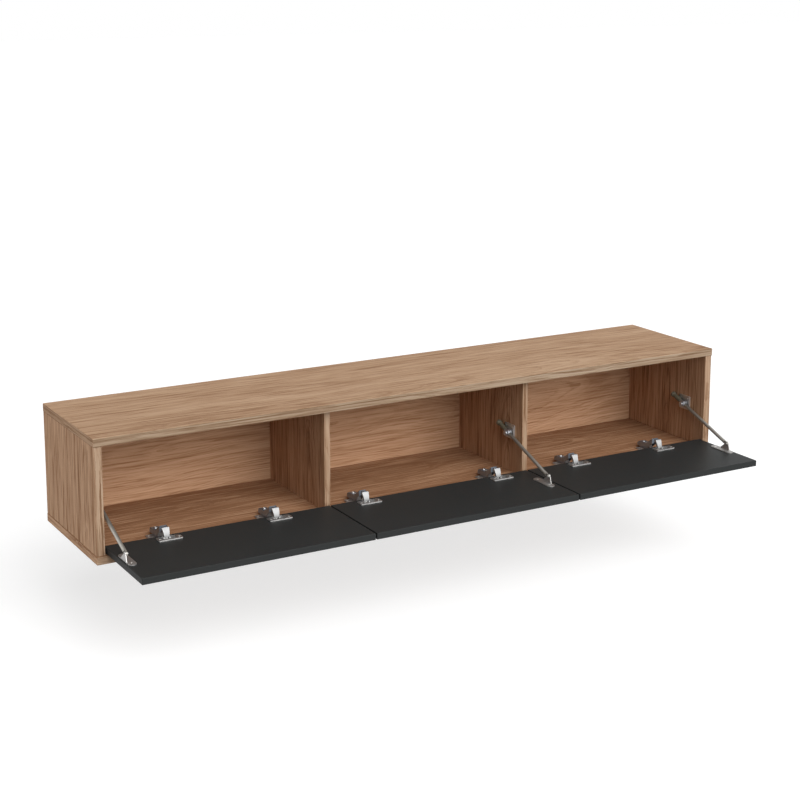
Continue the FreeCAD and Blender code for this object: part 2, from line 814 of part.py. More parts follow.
for flap in flap_centres:
    parts[f"{flap}_flap"] = opened(flap_board_shape(flap))
    parts[f"{flap}_flap_screws"] = opened(
        Part.makeCompound([screw(*place) for place in flap_screw_places[flap]]))

parts["fitting_screws"] = Part.makeCompound([screw(*place) for place in fitting_screw_places])


# ---- hanging rails: the cabinet's rail hooks over the lip of the rail on the wall
def rail_profile(points, length):
    return side_plate(points, -length / 2, length / 2)


lip_top_z = wall_rail_above + wall_rail_lip
lip_rear_y = -rail_joggle
cabinet_lip_y = lip_rear_y + rail_gap


def rail_screw_places():
    z = lip_top_z + rail_sheet + cabinet_rail_flange / 2
    y = -back_recess + rail_sheet
    xs = (-rail_screw_outer, -divider_x, 0, divider_x, rail_screw_outer)
    return [(x, y, z, -Y_AXIS) for x in xs]


def rail_screw(place, spare=0.0):
    in_divider = abs(abs(place[0]) - divider_x) < divider_board / 2
    length = rail_screw_length if in_divider else rail_screw_short
    return screw(*place, spare=spare, radius=rail_screw_radius, head=rail_screw_head_radius,
                 length=length)


def rail_screw_holes():
    return [rail_screw(place, screw_clearance) for place in rail_screw_places()]


def wall_rail():
    rail = rail_profile([
        (0, -wall_rail_below), (0, wall_rail_above),
        (lip_rear_y, wall_rail_above + rail_joggle), (lip_rear_y, lip_top_z),
        (lip_rear_y - rail_sheet, lip_top_z),
        (lip_rear_y - rail_sheet, wall_rail_above + rail_joggle - rail_sheet / 2),
        (-rail_sheet, wall_rail_above - rail_sheet / 2),
        (-rail_sheet, -wall_rail_below),
    ], wall_rail_length)
    holes = [cylinder(rail_hole_radius, (x, -rail_sheet - overshoot, rail_hole_height),
                      (x, overshoot, rail_hole_height))
             for x in (-rail_hole_outer, -rail_hole_inner, rail_hole_inner, rail_hole_outer)]
    return cut(rail, holes)


def cabinet_rail():
    seat = lip_top_z
    rail = rail_profile([
        (-back_recess, seat), (-back_recess, seat + rail_sheet + cabinet_rail_flange),
        (-back_recess + rail_sheet, seat + rail_sheet + cabinet_rail_flange),
        (-back_recess + rail_sheet, seat + rail_sheet),
        (cabinet_lip_y + rail_sheet, seat + rail_sheet),
        (cabinet_lip_y + rail_sheet, seat - cabinet_rail_lip),
        (cabinet_lip_y, seat - cabinet_rail_lip),
        (cabinet_lip_y, seat),
    ], cabinet_rail_length)
    return cut(rail, rail_screw_holes())


parts["wall_rail"] = wall_rail()
parts["cabinet_rail"] = cabinet_rail()
parts["rail_screws"] = Part.makeCompound([rail_screw(place) for place in rail_screw_places()])

# ---- the boards get the holes of the screws that are driven into them
for node in ("bottom_panel", "left_side_panel", "right_side_panel", "right_divider"):
    parts[node] = cut(parts[node], screw_holes(
        [place for place in fitting_screw_places
         if parts[node].BoundBox.isInside(
             FreeCAD.Vector(*place[:3]) + place[3] * (screw_length / 2))]))
for node in ("back_panel", "left_divider", "right_divider"):
    parts[node] = cut(parts[node], rail_screw_holes())

os.makedirs("parts", exist_ok=True)
for node, shape in parts.items():
    shape.exportStep(f"parts/{node}.step")
print(len(parts), "parts")
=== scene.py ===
import bpy
import bmesh
import math
from mathutils import Matrix, Vector


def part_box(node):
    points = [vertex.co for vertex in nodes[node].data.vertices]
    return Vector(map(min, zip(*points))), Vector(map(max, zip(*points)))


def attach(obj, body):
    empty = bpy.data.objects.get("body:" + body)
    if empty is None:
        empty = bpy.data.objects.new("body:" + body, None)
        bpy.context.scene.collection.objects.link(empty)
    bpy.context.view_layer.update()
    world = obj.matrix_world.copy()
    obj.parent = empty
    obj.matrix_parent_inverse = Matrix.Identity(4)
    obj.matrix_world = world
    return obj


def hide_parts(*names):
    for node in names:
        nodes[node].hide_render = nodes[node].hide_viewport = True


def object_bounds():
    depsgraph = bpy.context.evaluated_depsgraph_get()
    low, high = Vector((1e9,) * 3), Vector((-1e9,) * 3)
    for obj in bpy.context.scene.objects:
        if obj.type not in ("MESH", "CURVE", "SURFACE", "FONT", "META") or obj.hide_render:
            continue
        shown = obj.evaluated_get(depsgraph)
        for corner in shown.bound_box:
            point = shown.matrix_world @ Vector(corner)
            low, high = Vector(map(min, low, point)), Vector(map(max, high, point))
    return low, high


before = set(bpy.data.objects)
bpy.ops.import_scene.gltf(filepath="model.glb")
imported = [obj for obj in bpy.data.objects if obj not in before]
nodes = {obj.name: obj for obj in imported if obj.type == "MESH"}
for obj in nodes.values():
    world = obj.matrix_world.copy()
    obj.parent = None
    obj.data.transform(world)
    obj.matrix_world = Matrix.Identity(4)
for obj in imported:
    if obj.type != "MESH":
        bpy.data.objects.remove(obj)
cad_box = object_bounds()


# ---- The view
# The camera stands in front of the console, to its left and a little above its top, and looks
# down a little. A small lens shift keeps the upright edges near to upright.
VIEW_PLACE = Vector((-2.0883, -3.8239, 1.1238))
VIEW_TURN = 29.830          # degrees to the right
VIEW_DIP = 10.836           # degrees downwards
VIEW_LENS = 74.52           # mm, and so is the sensor's width
VIEW_SENSOR = 36
VIEW_SHIFT = -0.15          # in widths of the picture

view = bpy.data.objects.new("view", bpy.data.cameras.new("view"))
bpy.context.scene.collection.objects.link(view)
view.location = VIEW_PLACE
view.rotation_euler = (math.radians(90 - VIEW_DIP), 0, math.radians(-VIEW_TURN))
view.data.lens = VIEW_LENS
view.data.sensor_width = VIEW_SENSOR
view.data.shift_y = VIEW_SHIFT
bpy.context.scene.camera = view
bpy.context.scene.view_settings.view_transform = "Standard"


# ---- The studio
# A pale floor under the hanging console, a white surround, and three soft lights: a low one from
# the front that reaches into the bays, a higher one from the front, and a low one from behind
# the left end.
FLOOR_UNDER = 0.245         # metres below the console
FLOOR_REACH = 30.0          # metres from the middle to each side
FLOOR_TONE = 0.48
FLOOR_GLOW = 0.620          # brings the lit floor up to white, where it is seen
ROOM_LIGHT = 0.20           # what the surround sheds on things
WHITE = (1, 1, 1, 1)
LIGHTS = {                  # where each shines from, its spread in degrees, and its level
    "light_front": ((0.15, -0.88, 0.42), 55, 0.85),
    "light_above": ((-0.02, -0.68, 0.70), 55, 0.56),
    "light_left": ((-0.90, 0.35, 0.20), 50, 0.31),
}


def reckoned(operation):
    """An operator between a wire and a wire or number, and its reflected form."""
    return (lambda self, other: self.reckon(operation, self, other),
            lambda self, other: self.reckon(operation, other, self))


class Wire:
    """A value on its way through a material's nodes, which can be reckoned with."""

    def __init__(self, finish, socket):
        self.finish = finish
        self.socket = socket

    def reckon(self, operation, *values):
        return self.finish.node("ShaderNodeMath", {"operation": operation}, dict(enumerate(values)))

    __add__, __radd__ = reckoned("ADD")
    __sub__, __rsub__ = reckoned("SUBTRACT")
    __mul__, __rmul__ = reckoned("MULTIPLY")
    __truediv__, __rtruediv__ = reckoned("DIVIDE")
    __pow__, __rpow__ = reckoned("POWER")
    __mod__, __rmod__ = reckoned("FLOORED_MODULO")

    def __abs__(self):
        return self.reckon("ABSOLUTE", self)

    def over(self, level):
        """One where the value is above the level, and nought elsewhere."""
        return self.reckon("GREATER_THAN", self, level)

    def between(self, low, high):
        """A smooth rise from nought at low to one at high."""
        return self.finish.node("ShaderNodeMapRange", {"interpolation_type": "SMOOTHSTEP"},
                                {"Value": self, "From Min": low, "From Max": high})


class Finish:
    """A material, or the world, with its nodes."""

    def __init__(self, name, owner=None):
        self.owner = owner or bpy.data.materials.new(name)
        self.owner.use_nodes = True
        self.tree = self.owner.node_tree
        self.tree.nodes.clear()

    def node(self, kind, settings=None, inputs=None, output=0):
        """A node of a kind, with its settings, the values or links of its sockets, and the
        output that is wanted from it, if it has any."""
        made = self.tree.nodes.new(kind)
        for key, value in (settings or {}).items():
            if key == "stops":
                self.set_stops(made.color_ramp, value)
            else:
                setattr(made, key, value)
        for key, value in (inputs or {}).items():
            if isinstance(value, Wire):
                self.tree.links.new(value.socket, made.inputs[key])
            else:
                made.inputs[key].default_value = value
        return Wire(self, made.outputs[output]) if made.outputs else None

    def set_stops(self, ramp, stops):
        """A ramp's colours, from the deepest to the palest, blended softly."""
        ramp.interpolation = "B_SPLINE"
        while len(ramp.elements) < len(stops):
            ramp.elements.new(1.0)
        for element, (place, colour) in zip(ramp.elements, stops):
            element.position = place
            element.color = (*colour, 1)

    def place(self):
        """Where a point lies, in metres."""
        return self.node("ShaderNodeTexCoord", output="Object")

    def facing(self):
        """Which way a point faces."""
        return self.node("ShaderNodeTexCoord", output="Normal")

    def split(self, vector):
        """The three parts of a vector, by the names of their axes."""
        parts = self.node("ShaderNodeSeparateXYZ", inputs={"Vector": vector}).socket.node.outputs
        return {axis: Wire(self, part) for axis, part in zip("xyz", parts)}

    def join(self, x, y, z):
        return self.node("ShaderNodeCombineXYZ", inputs={"X": x, "Y": y, "Z": z})

    def square_to(self, axis, nearly=0.7):
        """One on the faces that look along an axis, either way, and nought elsewhere."""
        return abs(self.split(self.facing())[axis]).over(nearly)

    def noise(self, place, detail=2.0, roughness=0.5, scale=1.0):
        """Noise, with its scale in waves to the metre."""
        return self.node("ShaderNodeTexNoise", inputs={
            "Vector": place, "Scale": scale, "Detail": detail, "Roughness": roughness})

    def mix(self, factor, first, second, blend="MIX"):
        """A blend of two colours, which a Mix node has on its sockets 6, 7 and 2."""
        return self.node("ShaderNodeMix", {"data_type": "RGBA", "blend_type": blend},
                         {0: factor, 6: first, 7: second}, 2)

    def shaded(self, mask, colour, shade):
        """A colour, made darker where the mask is one."""
        return self.mix(mask, colour, (shade, shade, shade, 1), "MULTIPLY")

    def bump(self, height, strength, distance):
        return self.node("ShaderNodeBump", inputs={
            "Height": height, "Strength": strength, "Distance": distance})

    def surface(self, **inputs):
        """The shader that most finishes end in. An underscore stands for a space."""
        named = {key.replace("_", " "): value for key, value in inputs.items()}
        self.close(self.node("ShaderNodeBsdfPrincipled", inputs=named))

    def close(self, shader, end="ShaderNodeOutputMaterial"):
        self.node(end, inputs={"Surface": shader})


def seen(finish):
    """One for the eye, and for what it sees in metal or through glass, and nought for the light
    that falls on things."""
    straight, mirrored, through = [
        finish.node("ShaderNodeLightPath", output=ray)
        for ray in ("Is Camera Ray", "Is Glossy Ray", "Is Transmission Ray")]
    return straight + mirrored + through


world = bpy.data.worlds.new("room")
bpy.context.scene.world = world
room = Finish("room", world)
room_light = room.node("ShaderNodeBackground", inputs={"Color": WHITE, "Strength": ROOM_LIGHT})
surround = room.node("ShaderNodeBackground", inputs={"Color": WHITE, "Strength": 1.0})
room.close(room.node("ShaderNodeMixShader", inputs={0: seen(room), 1: room_light, 2: surround}),
           "ShaderNodeOutputWorld")

floor_finish = Finish("studio_floor")
floor_paint = floor_finish.node("ShaderNodeBsdfDiffuse", inputs={
    "Color": (FLOOR_TONE, FLOOR_TONE, FLOOR_TONE, 1)})
floor_glow = floor_finish.node("ShaderNodeEmission", inputs={
    "Color": WHITE, "Strength": FLOOR_GLOW})
floor_bright = floor_finish.node("ShaderNodeAddShader", inputs={0: floor_paint, 1: floor_glow})
floor_finish.close(floor_finish.node("ShaderNodeMixShader", inputs={
    0: seen(floor_finish), 1: floor_paint, 2: floor_bright}))

floor_mesh = bpy.data.meshes.new("studio_floor")
floor_z = cad_box[0].z - FLOOR_UNDER
floor_mesh.from_pydata([(x * FLOOR_REACH, y * FLOOR_REACH, floor_z)
                        for x, y in ((-1, -1), (1, -1), (1, 1), (-1, 1))], [], [(0, 1, 2, 3)])
floor_mesh.materials.append(floor_finish.owner)
floor = bpy.data.objects.new("studio_floor", floor_mesh)
bpy.context.scene.collection.objects.link(floor)

for name, (direction, spread, level) in LIGHTS.items():
    light = bpy.data.objects.new(name, bpy.data.lights.new(name, "SUN"))
    light.data.angle = math.radians(spread)
    light.data.energy = level * math.pi
    light.rotation_euler = Vector(direction).to_track_quat("Z", "Y").to_euler()
    bpy.context.scene.collection.objects.link(light)


# ---- The outer boards and dividers
# Chipboard faced with an open-pored, honey-brown wood veneer under matt lacquer, and edged with
# strips of the same wood. Each board shows its own stretch of the leaf, with a heart of arches.
WOOD = (                    # the wood's colours, and where each stands from deep to pale
    (0.10, (0.215, 0.118, 0.064)),
    (0.38, (0.315, 0.192, 0.114)),
    (0.60, (0.395, 0.258, 0.160)),
    (0.92, (0.490, 0.345, 0.232)),
)
WOOD_MIDDLE = 0.58
LIVELY_LIFT = 0.14          # lively grain is darker, and is lifted by this to the middle again
EDGE_TINT = (0.65, 0.72, 0.78, 1)   # the edge strips against the faces: duller and greyer
RING = 0.0060               # metres from one growth ring to the next

# The features of the grain: waves to the metre along the grain and over it, detail, roughness.
DRIFT = (1.3, 1.5, 1.0, 0.5)
SWAY = (4.5, 9.0, 2.0, 0.5)
TOOTH = (45, 90, 2.0, 0.7)
BAND = (0.5, 24, 1.0, 0.5)
STREAK = (1.8, 95, 2.0, 0.6)
VEIN = (2.6, 85, 2.0, 0.6)
FLECK = (8, 150, 1.0, 0.5)
FIBRE = (6, 280, 3.0, 0.65)
PORE = (38, 1150, 1.0, 0.5)

# How far the first three shift the rings, in metres, and how much the rest shade the wood.
DRIFT_SHIFT, SWAY_SHIFT, TOOTH_SHIFT = 0.16, 0.020, 0.0045
BAND_SHADE, STREAK_SHADE, FIBRE_SHADE = 0.45, 0.66, 1.70
LATE_SHADE, VEIN_SHADE, FLECK_SHADE, PORE_SHADE = 0.23, 0.17, 0.22, 0.10

# Between which levels of their noise the features come up, and over which parts of a ring the
# late wood does: it darkens over most of the ring, and ends sharply.
VEIN_RISE, FLECK_RISE, PORE_RISE = (0.0, 0.05), (0.54, 0.66), (0.56, 0.70)
LATE_RISE, LATE_END = (0.35, 0.92), (0.92, 1.0)
LATE_STREAKS = (0.40, 0.60)     # the levels of the streaks between which it comes up
EARLY_PORES = 0.45          # how strongly the pores show outside the late wood

LACQUER_DULL = 0.55         # its roughness, and how much the fibres vary it
LACQUER_VARIES = 0.16
RELIEF = 0.55               # how strongly pores and fibres show as relief
FIBRE_RELIEF = 0.4          # of the fibres, against the pores
PORE_DEPTH = 0.00012

# The joints' dark lines are partly the joints' own and partly painted shadow of the step where the
# boards meet.
JOINT_LINE = 0.0011         # half the width of a joint's dark line
JOINT_AND_SHADOW_DARKNESS = 0.55
SEAM_SHADE = 0.32
SEAM_BELOW_TOP = 0.0068
SEAM_ABOVE_UNDERSIDE = 0.0105


def veneer(name, run, across, heart, taper, seed, warmth, edge=None, joints=(), tone=0.0,
           lively=1.0):
    """Veneer whose grain runs along one axis, on a board that is wide across another.
    heart: the middle of the arches across the board, and how far under the face the log's own
    middle lies. taper: how fast that middle rises along the grain. warmth: how much redder the
    leaf is. edge: the axis that the edge strips look along. joints: height and darkness of the fine
    lines round the board, where another board meets it, partly the joint's own line and partly
    painted shadow of the step there, or where its edge strips are seamed.
    tone: how much paler the broad faces are; below nought it darkens them as painted shade. lively:
    how strongly the grain shows."""
    wood = Finish(name)
    place = wood.split(wood.place())
    through = ({"x", "y", "z"} - {run, across}).pop()

    # The strips on the board's two ends have their grain along its width.
    ended = wood.square_to(run)
    along = place[run] + ended * (place[across] - place[run])
    over = place[across] + ended * (place[through] - place[across])
    under = place[through] + ended * (place[run] - place[through])

    def grain(feature, start=0.0, shift=0.0):
        """Noise drawn out along the grain."""
        length, width, detail, roughness = feature
        return wood.noise(wood.join(along * length + start, over * width, under * width + shift),
                          detail, roughness)

    def growth(feature, start=0.0, shift=0.0):
        """Noise drawn out along the grain, in layers about the log's middle."""
        length, width, detail, roughness = feature
        return wood.noise(wood.join(along * length + start, depth * width, seed + shift),
                          detail, roughness)

    drift = grain(DRIFT, start=seed) - 0.5
    sway = grain(SWAY, shift=seed) - 0.5
    tooth = grain(TOOTH, shift=seed) - 0.5
    heart_place, heart_depth = heart
    side = over - heart_place + drift * DRIFT_SHIFT
    reach = (side * side + (under + heart_depth + along * taper) ** 2) ** 0.5
    depth = reach + sway * SWAY_SHIFT + tooth * TOOTH_SHIFT

    band = growth(BAND, start=seed)
    streak = growth(STREAK, shift=4)
    vein = 1 - abs(growth(VEIN, shift=8) - 0.5).between(*VEIN_RISE)
    ring = (depth / RING) % 1.0
    late = ring.between(*LATE_RISE) * (1 - ring.between(*LATE_END)) * streak.between(*LATE_STREAKS)
    fleck = grain(FLECK, shift=seed).between(*FLECK_RISE)
    fibre = grain(FIBRE)
    pore = grain(PORE).between(*PORE_RISE) * (EARLY_PORES + late)

    shade = (band - 0.5) * BAND_SHADE + (streak - 0.5) * STREAK_SHADE + (fibre - 0.5) * FIBRE_SHADE
    shade = shade - late * LATE_SHADE - vein * VEIN_SHADE - fleck * FLECK_SHADE - pore * PORE_SHADE
    # tone lifts or darkens the broad faces; below nought it is painted shade.
    shade = shade * lively + (WOOD_MIDDLE + LIVELY_LIFT * lively) + wood.square_to(through) * tone
    upright = 1 - wood.square_to("z")
    # Fine dark lines at the joints and seams, on upright faces; those at the joints carry painted
    # shadow too.
    for height, darkness in joints:
        line = (JOINT_LINE - abs(place["z"] - height)).over(0.0)
        shade = shade - line * upright * darkness

    colour = wood.node("ShaderNodeValToRGB", {"stops": WOOD}, {0: shade})
    colour = wood.mix(1.0, colour, (1 + warmth, 1.0, 1 - warmth * 0.5, 1), "MULTIPLY")
    if edge:
        colour = wood.mix(wood.square_to(edge), colour, EDGE_TINT, "MULTIPLY")
    wood.surface(Base_Color=colour,
                 Roughness=LACQUER_DULL + (fibre - 0.5) * LACQUER_VARIES,
                 Normal=wood.bump(fibre * FIBRE_RELIEF - pore, RELIEF, PORE_DEPTH),
                 IOR=1.45,
                 Specular_IOR_Level=0.02)
    return wood.owner


def dress(names, material):
    for name in names:
        for slot in nodes[name].material_slots:
            slot.material = material


# Where the side panels meet the top and bottom: joint lines with painted shadow of the step between
# the boards.
floor_line = (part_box("bottom_panel")[1].z, JOINT_AND_SHADOW_DARKNESS)
ceiling_line = (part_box("top_panel")[0].z, JOINT_AND_SHADOW_DARKNESS)
top_seam = (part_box("top_panel")[1].z - SEAM_BELOW_TOP, SEAM_SHADE)
bottom_seam = (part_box("bottom_panel")[0].z + SEAM_ABOVE_UNDERSIDE, SEAM_SHADE)

# The top panel's broad faces are painted a little darker (tone -0.04): painted shade that offsets
# the surround's sheen on them.
dress(["top_panel"], veneer(
    "top_veneer", run="x", across="y", heart=(-0.31, 0.02), taper=0.03, seed=1.7,
    warmth=0.03, edge="y", joints=(ceiling_line, top_seam), tone=-0.04))
# The bottom panel's broad faces are painted much darker (tone -0.41): painted shade of the bays'
# floor, where less light falls.
dress(["bottom_panel"], veneer(
    "bottom_veneer", run="x", across="y", heart=(-0.12, 0.30), taper=0.04, seed=7.3,
    warmth=0.10, edge="y", joints=(floor_line, bottom_seam), tone=-0.41, lively=1.2))
dress(["left_side_panel"], veneer(
    "left_side_veneer", run="z", across="y", heart=(-0.30, 0.93), taper=0.05, seed=3.1,
    warmth=0.10, edge="y", joints=(floor_line, ceiling_line), lively=1.75))
dress(["right_side_panel"], veneer(
    "right_side_veneer", run="z", across="y", heart=(-0.20, -0.84), taper=0.08, seed=5.9,
    warmth=0.14, edge="y", joints=(floor_line, ceiling_line), lively=1.3))
dress(["left_divider"], veneer(
    "left_divider_veneer", run="z", across="y", heart=(-0.27, 0.33), taper=0.16, seed=9.2,
    warmth=0.13, edge="y", lively=1.3))
dress(["right_divider"], veneer(
    "right_divider_veneer", run="z", across="y", heart=(-0.25, -0.25), taper=0.16, seed=2.8,
    warmth=0.13, edge="y", lively=1.3))


# ---- The back panel
# Thin fibreboard, veneered like the boards with a calmer leaf, and let into a groove in all four
# outer boards.
dress(["back_panel"], veneer(
    "back_veneer", run="x", across="z", heart=(-0.09, 0.05), taper=0.07, seed=5.1,
    warmth=0.13, lively=0.78))


# ---- The dowels
# Fluted beech pegs, which line up the corner and divider joints. They are glued in, and out of
# sight once the carcass stands.
BEECH_FLECK = (0.58, 0.41, 0.26, 1)
BEECH_PALE = (0.72, 0.55, 0.38, 1)
BEECH_ACROSS = 900          # waves of its grain to the metre
BEECH_ALONG = 60

beech = Finish("beech")
x, y, z = beech.split(beech.place()).values()
beech_grain = beech.join(x * BEECH_ACROSS, y * BEECH_ACROSS, z * BEECH_ALONG)
flecks = beech.noise(beech_grain, detail=3.0)
beech.surface(Base_Color=beech.mix(flecks, BEECH_FLECK, BEECH_PALE),
              Roughness=0.7)
dress(["carcass_dowels"], beech.owner)


# ---- The flaps
# Particle board faced with anthracite melamine of a fine matt texture, with edge strips to match;
# the strips of the short ends are painted a shade darker, as painted shade.
MELAMINE_DEEP = (0.0215, 0.0228, 0.0226, 1)
MELAMINE_PALE = (0.0245, 0.0262, 0.0262, 1)
MELAMINE_CLOUD = 9.0        # waves to the metre of its faint clouds and of its grit
MELAMINE_GRIT = 1400.0
MELAMINE_DEPTH = 0.00008
MELAMINE_DULL = 0.46        # its roughness, and how much the clouds vary it
MELAMINE_VARIES = 0.06
# Painted shade on the short ends' strips.
MELAMINE_ENDS_PAINTED_SHADE = 0.68        # the shade of the short ends' strips

flaps = ("left", "middle", "right")
melamine = Finish("anthracite_melamine")
cloud = melamine.noise(melamine.place(), scale=MELAMINE_CLOUD)
grit = melamine.noise(melamine.place(), detail=3.0, roughness=0.6, scale=MELAMINE_GRIT)
melamine_tint = melamine.mix(cloud, MELAMINE_DEEP, MELAMINE_PALE)
# The short ends' strips are darkened: painted shade.
melamine.surface(Base_Color=melamine.shaded(melamine.square_to("x"), melamine_tint, MELAMINE_ENDS_PAINTED_SHADE),
                 Roughness=MELAMINE_DULL + (cloud - 0.5) * MELAMINE_VARIES,
                 Normal=melamine.bump(grit, strength=0.25, distance=MELAMINE_DEPTH),
                 IOR=1.38,
                 Specular_IOR_Level=0.12)
dress([f"{flap}_flap" for flap in flaps], melamine.owner)


# ---- The cup hinges
# Pressed and nickel-plated steel: a cup and flange in the flap, bright links, a dark plated arm
# and a mounting plate on the bottom panel.
SMEAR_ALONG = 60            # waves to the metre of the rolled sheet's streaks
SMEAR_ACROSS = 900
SMEAR_DEPTH = 0.00005
PLATING_CLOUD = 45          # waves to the metre of its duller clouds, and their shade
PLATING_DULL = 0.80
UPPER = 0.8                 # faces that look up more steeply than this are upper ones


def plated(name, colour, roughness, streaks, flat=1.0):
    """Plated steel. streaks: how much the roughness varies along the rolled sheet's streaks.
    flat: how bright the upper faces are against the edges: painted shade that stands in for the
    darker reflections on them."""
    steel = Finish(name)
    x, y, z = steel.split(steel.place()).values()
    rolled = steel.join(x * SMEAR_ALONG, y * SMEAR_ACROSS, z * SMEAR_ACROSS)
    smear = steel.noise(rolled, detail=3.0, roughness=0.6)
    cloud = steel.noise(steel.place(), scale=PLATING_CLOUD)
    dull = [channel * PLATING_DULL for channel in colour]
    tint = steel.mix(cloud, (*dull, 1), (*colour, 1))
    # Upper faces made darker: painted shade of their reflections.
    if flat < 1.0:
        tint = steel.shaded(steel.split(steel.facing())["z"].over(UPPER), tint, flat)
    steel.surface(Base_Color=tint,
                  Metallic=1.0,
                  Roughness=roughness + (smear - 0.5) * streaks,
                  Normal=steel.bump(smear, strength=0.12, distance=SMEAR_DEPTH))
    return steel.owner


hinges = [f"{flap}_flap_hinge_{number}" for flap in flaps for number in (1, 2)]
satin_nickel = plated("satin_nickel", (0.58, 0.57, 0.56), roughness=0.50, streaks=0.14)
bright_nickel = plated("bright_nickel", (0.36, 0.36, 0.36), roughness=0.62, streaks=0.08)
# The cup's upper faces are painted darker than its edges: painted shade for the darker reflections
# on the flange's top.
cup_nickel = plated("cup_nickel", (0.64, 0.63, 0.62), roughness=0.48, streaks=0.14, flat=0.58)
dark_nickel = plated("dark_nickel", (0.34, 0.39, 0.46), roughness=0.45, streaks=0.12)
grey_nickel = plated("grey_nickel", (0.50, 0.495, 0.49), roughness=0.50, streaks=0.14)
dress([f"{hinge}_cup" for hinge in hinges], cup_nickel)
dress([f"{hinge}_mounting_plate" for hinge in hinges], grey_nickel)
dress([f"{hinge}_arm" for hinge in hinges], dark_nickel)
dress([f"{flap}_flap_outer_links" for flap in flaps], bright_nickel)
dress([f"{flap}_flap_inner_links" for flap in flaps], satin_nickel)


# ---- The flap stays
# A plated steel rod hinged on the flap, which slides through a swivelling brake block on the
# carcass, and ends in a moulded plastic cap.
CAP_COLOUR = (0.100, 0.092, 0.062)
CAP_PALER = 1.25            # times its colour, in the grit's high spots
CAP_GRIT = 1100.0
CAP_DEPTH = 0.00008

stay_steel = plated("stay_steel", (0.36, 0.345, 0.315), roughness=0.50, streaks=0.14)
lug_steel = plated("lug_steel", (0.43, 0.42, 0.41), roughness=0.50, streaks=0.14)
cool_steel = plated("cool_steel", (0.58, 0.60, 0.64), roughness=0.42, streaks=0.10)

cap_plastic = Finish("cap_plastic")
grit = cap_plastic.noise(cap_plastic.place(), detail=3.0, roughness=0.6, scale=CAP_GRIT)
cap_pale = [channel * CAP_PALER for channel in CAP_COLOUR]
cap_plastic.surface(Base_Color=cap_plastic.mix(grit, (*CAP_COLOUR, 1), (*cap_pale, 1)),
                    Roughness=0.5,
                    Normal=cap_plastic.bump(grit, strength=0.3, distance=CAP_DEPTH))

dress([f"{flap}_stay_rod" for flap in flaps], stay_steel)
dress([f"{flap}_stay_flap_bracket" for flap in flaps], lug_steel)
dress([f"{flap}_stay_side_bracket" for flap in flaps], satin_nickel)
dress([f"{flap}_stay_swivel_block" for flap in flaps], cool_steel)
dress([f"{flap}_stay_brake_screw" for flap in flaps], cool_steel)
dress([f"{flap}_stay_end_cap" for flap in flaps], cap_plastic.owner)


# ---- The screws
# Nickel-plated wood screws with countersunk heads flush in the fittings, and a cross recess that
# a cross-headed driver fits. Each one stands where the frame's plain screw stands.
HEAD_RIM = 0.08             # the height of the head's upright rim, in head radii
HEAD_CONE = 0.5             # the depth of its cone, and the shank's radius, in the same
SHANK_END = 0.8             # where the point starts, in screw lengths
POINT = 0.08                # the point's blunt end, in head radii
WIDE = 0.9                  # corners further out than this many radii belong to the head's rim
RECESS_WIDTH = 0.19         # of the recess's arms, in head widths, and so the next two
RECESS_REACH = 0.31
RECESS_DEPTH = 0.22
RECESS_FLOOR_REACH = 0.6    # at the recess's bottom, against its mouth
RECESS_FLOOR_WIDTH = 0.7
SCREW_SIDES = 28
SAME_CORNER = 1e-6          # metres; corners closer than this are one

screw_nickel = plated("screw_nickel", (0.70, 0.69, 0.67), roughness=0.38, streaks=0.10)


def islands(mesh_object):
    """The corners of each separate piece of a node's mesh."""
    work = bmesh.new()
    work.from_mesh(mesh_object.data)
    bmesh.ops.remove_doubles(work, verts=work.verts, dist=SAME_CORNER)
    reached = set()
    found = []
    for first in work.verts:
        if first in reached:
            continue
        reached.add(first)
        island = [first]
        for corner in island:       # which grows as its corners lead to others
            for side in corner.link_edges:
                other = side.other_vert(corner)
                if other not in reached:
                    reached.add(other)
                    island.append(other)
        found.append([corner.co.copy() for corner in island])
    work.free()
    return found


def screw_stand(corners):
    """The middle of a screw's head, its outward direction, its radius, and the screw's length."""
    low = Vector([min(corner[i] for corner in corners) for i in range(3)])
    high = Vector([max(corner[i] for corner in corners) for i in range(3)])
    middle = (low + high) / 2
    size = high - low
    axis = max(range(3), key=lambda i: size[i])
    sideways = [i for i in range(3) if i != axis]
    radius = max(size[i] for i in sideways) / 2
    rim = [corner for corner in corners
           if max(abs(corner[i] - middle[i]) for i in sideways) > WIDE * radius]
    outward = 1 if sum(corner[axis] for corner in rim) / len(rim) > middle[axis] else -1
    head = middle.copy()
    head[axis] = high[axis] if outward > 0 else low[axis]
    direction = Vector([outward if i == axis else 0 for i in range(3)])
    return head, direction, radius, size[axis]


def neighbours(ring):
    """Each corner of a ring with the one after it."""
    return list(zip(ring, ring[1:] + ring[:1]))


def cross_corners(reach, width):
    """The outline of a cross, from its right arm round."""
    arm = [(reach, -width), (reach, width), (width, width)]
    corners = []
    for turn in range(4):
        angle = turn * math.pi / 2
        corners += [(x * math.cos(angle) - y * math.sin(angle),
                     x * math.sin(angle) + y * math.cos(angle)) for x, y in arm]
    return corners


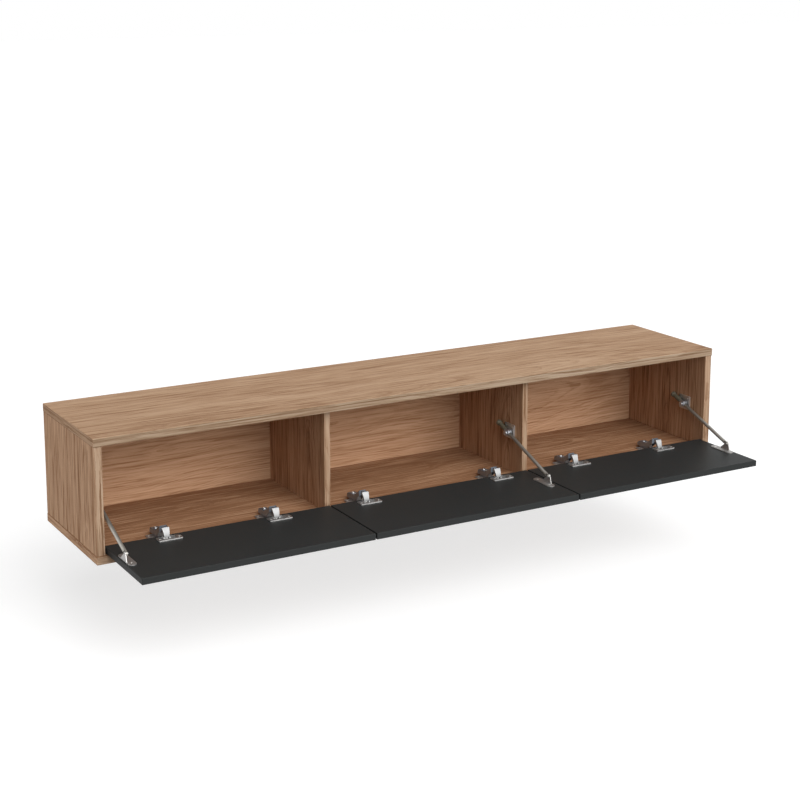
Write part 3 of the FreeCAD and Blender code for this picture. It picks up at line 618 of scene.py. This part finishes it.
def add_screw(work, head, direction, rings, width):
    """A turned screw with a cross recess in its head, added to a mesh. head: the middle of its top;
    rings: radius and depth, from the top's rim to the tip; width: of the head."""
    stand = Matrix.Translation(head) @ direction.to_track_quat("Z", "Y").to_matrix().to_4x4()

    def outline(points, depth):
        return [work.verts.new(stand @ Vector((x, y, -depth))) for x, y in points]

    def circle(radius, depth):
        angles = [2 * math.pi * i / SCREW_SIDES for i in range(SCREW_SIDES)]
        return outline([(radius * math.cos(a), radius * math.sin(a)) for a in angles], depth)

    def skirt(upper, lower, smooth):
        for (corner, after), (below, after_below) in zip(neighbours(upper), neighbours(lower)):
            work.faces.new((corner, below, after_below, after)).smooth = smooth

    turned = [circle(*ring) for ring in rings]
    for upper, lower in zip(turned, turned[1:]):
        skirt(upper, lower, True)
    work.faces.new(turned[-1][::-1])
    reach, half = RECESS_REACH * width, RECESS_WIDTH * width / 2
    mouth = outline(cross_corners(reach, half), 0)
    bottom = outline(cross_corners(reach * RECESS_FLOOR_REACH, half * RECESS_FLOOR_WIDTH),
                     RECESS_DEPTH * width)
    skirt(mouth, bottom, False)
    work.faces.new(bottom)
    edges = [work.edges.get(pair) for ring in (turned[0], mouth) for pair in neighbours(ring)]
    bmesh.ops.triangle_fill(work, edges=edges, use_beauty=True)


def screw_object(name, work):
    bmesh.ops.recalc_face_normals(work, faces=work.faces)
    mesh = bpy.data.meshes.new(name)
    work.to_mesh(mesh)
    work.free()
    mesh.materials.append(screw_nickel)
    made = bpy.data.objects.new(name, mesh)
    bpy.context.scene.collection.objects.link(made)
    return made


def dress_screws(node, body):
    work = bmesh.new()
    for island in islands(nodes[node]):
        head, direction, radius, length = screw_stand(island)
        shank = radius * HEAD_CONE
        rings = [(radius, 0), (radius, radius * HEAD_RIM), (shank, radius * HEAD_CONE),
                 (shank, length * SHANK_END), (radius * POINT, length)]
        add_screw(work, head, direction, rings, 2 * radius)
    made = screw_object(f"{node}_crossed", work)
    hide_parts(node)
    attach(made, body)


dress_screws("fitting_screws", "cabinet")
dress_screws("rail_screws", "cabinet")
for flap in flaps:
    dress_screws(f"{flap}_flap_screws", f"{flap}_door")


# ---- The adjusting screws of the hinge arms
# Two round-headed, nickel-plated screws stand on the flat rear of each arm: a large one that
# clamps the arm to its plate, and a smaller one that shifts it sideways.
ARM_NOSE = 0.0029           # from the arm's front end back to its outer pivot
ARM_REAR = 0.0130           # height of the arm's rear
CLAMP = (0.0600, 0.0036, 0.0018)    # place behind the pivot, head's radius and height
SHIFT = (0.0480, 0.0026, 0.0012)
ROUND_HEAD = ((0.66, 0), (0.90, 0.22), (1, 0.6), (1, 1.6))  # its outline, in radii and heights
ROUND_HEAD_RECESS = 1.7     # the head width that the recess fits, in radii

for hinge in hinges:
    low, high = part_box(f"{hinge}_arm")
    work = bmesh.new()
    for behind, radius, height in (CLAMP, SHIFT):
        top = Vector(((low.x + high.x) / 2, low.y + ARM_NOSE + behind, low.z + ARM_REAR + height))
        rings = [(radius * out, height * down) for out, down in ROUND_HEAD]
        add_screw(work, top, Vector((0, 0, 1)), rings, ROUND_HEAD_RECESS * radius)
    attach(screw_object(f"{hinge}_arm_screws", work), "cabinet")


# ---- The hanging rails
# Two folded strips of zinc-coated steel: one screwed to the wall, one to the back panel, which
# hooks over it.
ZINC = (0.58, 0.60, 0.61, 1)
SPANGLE = 140.0             # crystals of the coat to the metre
SPANGLE_SHOWS = 0.25

zinc = Finish("zinc_coat")
spangle = zinc.node("ShaderNodeTexVoronoi", inputs={"Vector": zinc.place(), "Scale": SPANGLE},
                    output="Color")
zinc.surface(Base_Color=zinc.mix(SPANGLE_SHOWS, ZINC, spangle, "SOFT_LIGHT"),
             Metallic=1.0,
             Roughness=0.42)
dress(["wall_rail", "cabinet_rail"], zinc.owner)
